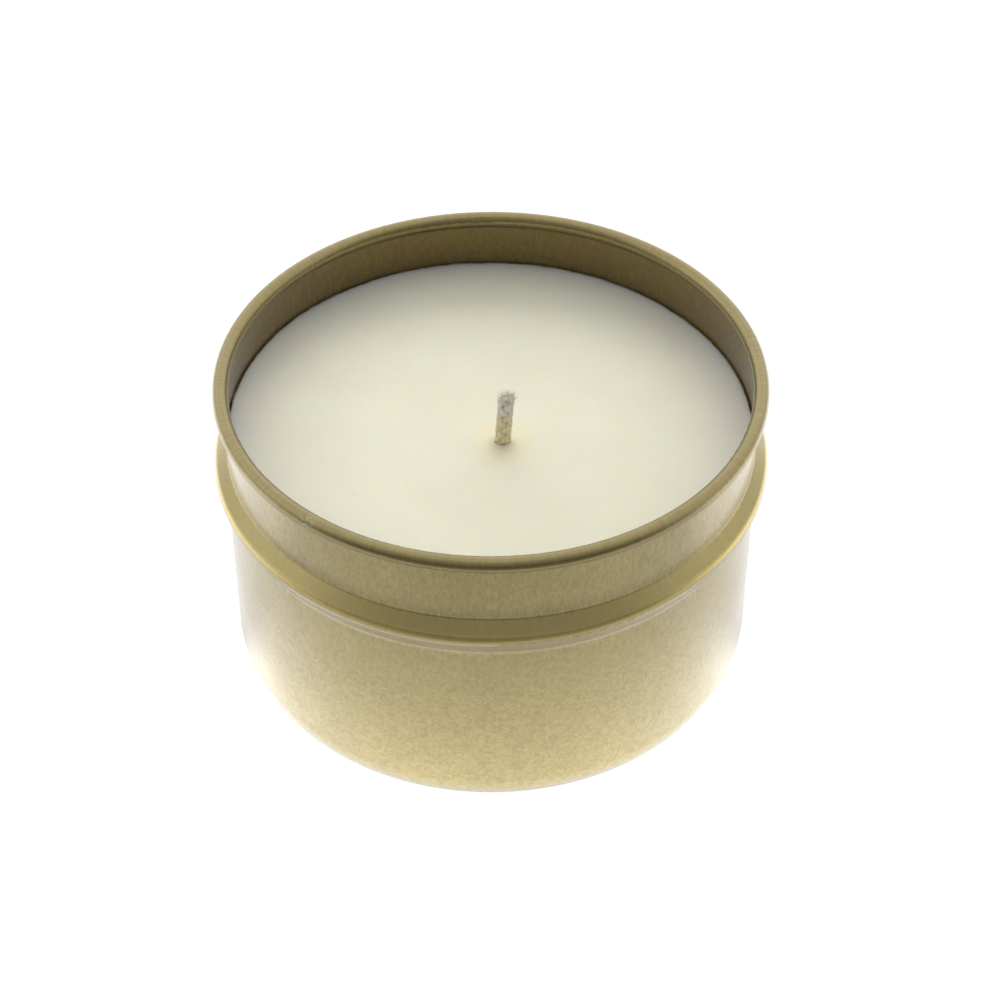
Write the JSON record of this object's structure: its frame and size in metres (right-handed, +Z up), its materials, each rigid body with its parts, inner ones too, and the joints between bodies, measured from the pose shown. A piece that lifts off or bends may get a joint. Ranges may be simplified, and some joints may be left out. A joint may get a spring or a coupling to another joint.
{
  "type": "candle tin",
  "caption": "Open drawn candle tin with a rolled rim, straight neck and raised bead, filled with wax around an off-centre braided wick that a crimped sustainer holds.",
  "frame": {"origin": "centre of the base, on the plane the tin stands on", "axes": "+Z up along the tin's axis; the wick stands off the axis towards -Y and leans to +X and -Y"},
  "size_m": [0.0814, 0.0814, 0.05],
  "materials": {
    "lacquered_tinplate": "satin",
    "candle_wax": "satin",
    "cotton_braid": "matte",
    "wick_paper": "matte",
    "bright_tinplate": "satin",
    "adhesive_foam": "matte"
  },
  "bodies": {
    "root": {"tin_body": "lacquered_tinplate", "wax_fill": "candle_wax", "wick_braid": "cotton_braid", "wick_core": "wick_paper", "wick_sustainer": "bright_tinplate", "wick_pad": "adhesive_foam"}
  },
  "joints": []
}
